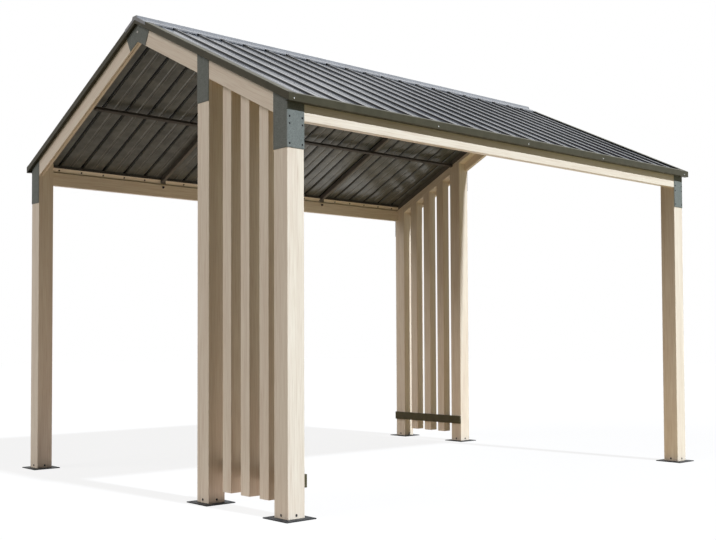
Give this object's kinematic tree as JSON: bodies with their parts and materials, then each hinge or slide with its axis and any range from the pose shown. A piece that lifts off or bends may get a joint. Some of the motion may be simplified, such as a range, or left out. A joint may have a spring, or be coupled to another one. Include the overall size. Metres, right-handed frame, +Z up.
{
  "type": "aluminium gazebo",
  "caption": "Open garden gazebo with a gabled ribbed metal roof on square wood-grain posts, with slat screens in two opposite corners and bolted base plates.",
  "frame": {"origin": "on the floor under the middle of the ridge", "axes": "+Z up, X along the ridge, +Y to the back, away from the front eave"},
  "size_m": [4.023, 3.058, 2.9831],
  "materials": {
    "printed_frame": "aluminium with a printed light oak grain, satin",
    "dark_trim": "dark grey powder coat, satin",
    "dark_steel": "dark grey powder-coated steel, satin",
    "roof_sheet": "slate grey coil-coated steel sheet, satin"
  },
  "bodies": {
    "root": {"post_front_left": "printed_frame", "post_front_right": "printed_frame", "post_back_left": "printed_frame", "post_back_right": "printed_frame", "post_mid_left": "printed_frame", "post_mid_right": "printed_frame", "base_front_left": "dark_steel", "base_front_right": "dark_steel", "base_back_left": "dark_steel", "base_back_right": "dark_steel", "base_mid_left": "dark_steel", "base_mid_right": "dark_steel", "corner_bracket_front_left": "dark_trim", "corner_bracket_front_right": "dark_trim", "corner_bracket_back_left": "dark_trim", "corner_bracket_back_right": "dark_trim", "mid_bracket_left": "dark_trim", "mid_bracket_right": "dark_trim", "apex_gusset_left": "dark_trim", "apex_gusset_right": "dark_trim", "rafter_left_long": "printed_frame", "rafter_left_upper": "printed_frame", "rafter_left_lower": "printed_frame", "rafter_right_long": "printed_frame", "rafter_right_upper": "printed_frame", "rafter_right_lower": "printed_frame", "eave_beam_front": "printed_frame", "eave_beam_back": "printed_frame", "ridge_beam": "dark_steel", "purlin_front": "dark_steel", "purlin_back": "dark_steel", "inner_rafters": "dark_steel", "roof_front": "roof_sheet", "roof_back": "roof_sheet", "ridge_cap": "dark_trim", "rake_trim_left_front": "dark_trim", "rake_trim_left_back": "dark_trim", "rake_trim_right_front": "dark_trim", "rake_trim_right_back": "dark_trim", "fascia_front": "dark_trim", "fascia_back": "dark_trim", "slat_screen_left": "printed_frame", "slat_screen_right": "printed_frame", "slat_rail_left": "dark_steel", "slat_rail_right": "dark_steel"}
  },
  "joints": []
}
